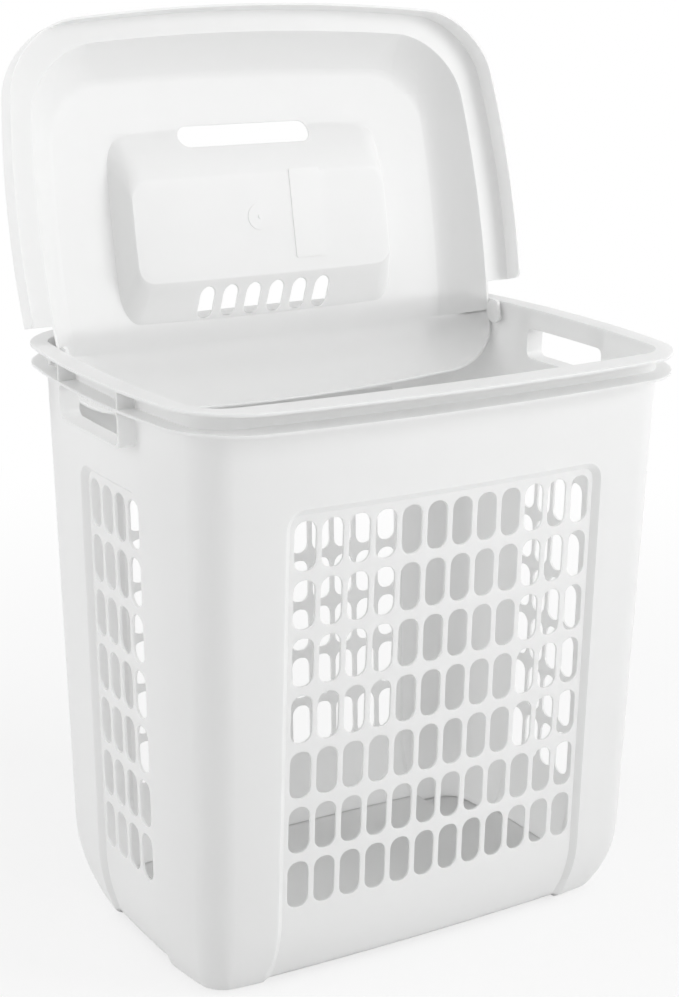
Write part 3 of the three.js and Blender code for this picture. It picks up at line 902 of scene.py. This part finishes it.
def studio_world():
    """Soft even light from all round, on a white background."""
    world = bpy.data.worlds.new("studio")
    bpy.context.scene.world = world
    world.use_nodes = True
    nodes, links = world.node_tree.nodes, world.node_tree.links
    nodes.clear()
    output = nodes.new("ShaderNodeOutputWorld")
    soft = nodes.new("ShaderNodeBackground")
    soft.inputs["Color"].default_value = (1, 1, 1, 1)
    soft.inputs["Strength"].default_value = WORLD_LIGHT
    white = nodes.new("ShaderNodeBackground")
    white.inputs["Color"].default_value = (1, 1, 1, 1)
    white.inputs["Strength"].default_value = 1
    mix = nodes.new("ShaderNodeMixShader")
    links.new(background_rays(nodes, links), mix.inputs["Fac"])
    links.new(soft.outputs["Background"], mix.inputs[1])
    links.new(white.outputs["Background"], mix.inputs[2])
    links.new(mix.outputs["Shader"], output.inputs["Surface"])


def soft_box(name, place, size, power):
    """A rectangular lamp turned towards the hamper."""
    deselect()
    bpy.ops.object.light_add(type="AREA", location=place)
    lamp = bpy.context.object
    lamp.name = name
    lamp.data.shape = "RECTANGLE"
    lamp.data.size, lamp.data.size_y = size
    lamp.data.energy = power
    towards = Vector(LAMP_AIM) - Vector(place)
    lamp.rotation_euler = towards.to_track_quat("-Z", "Y").to_euler()


def studio_camera():
    """Eye height a little over the open lid, to the left of the front, with a long lens."""
    yaw, pitch, roll = [math.radians(turn) for turn in CAMERA_TURN]
    forward = Vector(
        (-math.sin(yaw) * math.cos(pitch), math.cos(yaw) * math.cos(pitch), math.sin(pitch))
    )
    right = Vector((math.cos(yaw), math.sin(yaw), 0))
    up = right.cross(forward)
    level = Matrix((right, up, -forward)).transposed()
    turned = level @ Matrix.Rotation(roll, 3, "Z")
    place = Vector(CAMERA_FROM_RIM) + Vector((0, TUB_MIDDLE.y, HEIGHT))
    deselect()
    bpy.ops.object.camera_add(location=place, rotation=turned.to_euler())
    camera = bpy.context.object
    camera.data.sensor_width = 36
    camera.data.lens = CAMERA_LENS
    camera.data.shift_y = CAMERA_SHIFT
    bpy.context.scene.camera = camera


# ---------- operators ----------


class HAMPER_OT_studio(bpy.types.Operator):
    """Add the floor, the lamps, the world and the camera."""

    bl_idname = "hamper.studio"
    bl_label = "Studio"

    def execute(self, context):
        bpy.context.scene.view_settings.view_transform = "Standard"
        studio_world()
        deselect()
        bpy.ops.mesh.primitive_plane_add(size=40, location=(0, 0, 0))
        floor = bpy.context.object
        floor.name = "studio_floor"
        dress(floor, studio_floor_material(context.scene.hamper_finish.floor))
        for lamp in LAMPS:
            soft_box(*lamp)
        studio_camera()
        return {"FINISHED"}


class HAMPER_OT_tub(bpy.types.Operator):
    """Build the slotted tub with its flanges, hand holes and feet."""

    bl_idname = "hamper.tub"
    bl_label = "Tub"

    def execute(self, context):
        piece = build_tub(context.scene.hamper_tub)
        dress(piece, moulded_plastic("tub_plastic", context.scene.hamper_finish))
        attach(piece, "tub")
        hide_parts("basket")
        return {"FINISHED"}


class HAMPER_OT_lid(bpy.types.Operator):
    """Build the domed lid with its hand cup, skirt and hinge pins."""

    bl_idname = "hamper.lid"
    bl_label = "Lid"

    def execute(self, context):
        piece = build_lid(context.scene.hamper_lid)
        dress(piece, moulded_plastic("lid_plastic", context.scene.hamper_finish))
        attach(piece, "cover")
        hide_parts("lid")
        return {"FINISHED"}


class HAMPER_PT_panel(bpy.types.Panel):
    """Sizes, colours and the steps that build the hamper."""

    bl_label = "Laundry Hamper"
    bl_space_type = "VIEW_3D"
    bl_region_type = "UI"
    bl_category = "Hamper"

    def draw(self, context):
        for step in (HAMPER_OT_studio, HAMPER_OT_tub, HAMPER_OT_lid):
            self.layout.operator(step.bl_idname)
        for group in (context.scene.hamper_tub, context.scene.hamper_lid, context.scene.hamper_finish):
            box = self.layout.box()
            for key in group.bl_rna.properties.keys():
                if key not in ("rna_type", "name"):
                    box.prop(group, key)


CLASSES = (
    HamperTubSettings,
    HamperLidSettings,
    HamperFinishSettings,
    HAMPER_OT_studio,
    HAMPER_OT_tub,
    HAMPER_OT_lid,
    HAMPER_PT_panel,
)


def register():
    for item in CLASSES:
        bpy.utils.register_class(item)
    bpy.types.Scene.hamper_tub = bpy.props.PointerProperty(type=HamperTubSettings)
    bpy.types.Scene.hamper_lid = bpy.props.PointerProperty(type=HamperLidSettings)
    bpy.types.Scene.hamper_finish = bpy.props.PointerProperty(type=HamperFinishSettings)


def unregister():
    del bpy.types.Scene.hamper_finish
    del bpy.types.Scene.hamper_lid
    del bpy.types.Scene.hamper_tub
    for item in reversed(CLASSES):
        bpy.utils.unregister_class(item)


def main():
    register()
    bpy.ops.hamper.studio()
    bpy.ops.hamper.tub()
    bpy.ops.hamper.lid()


if __name__ == "__main__":
    main()
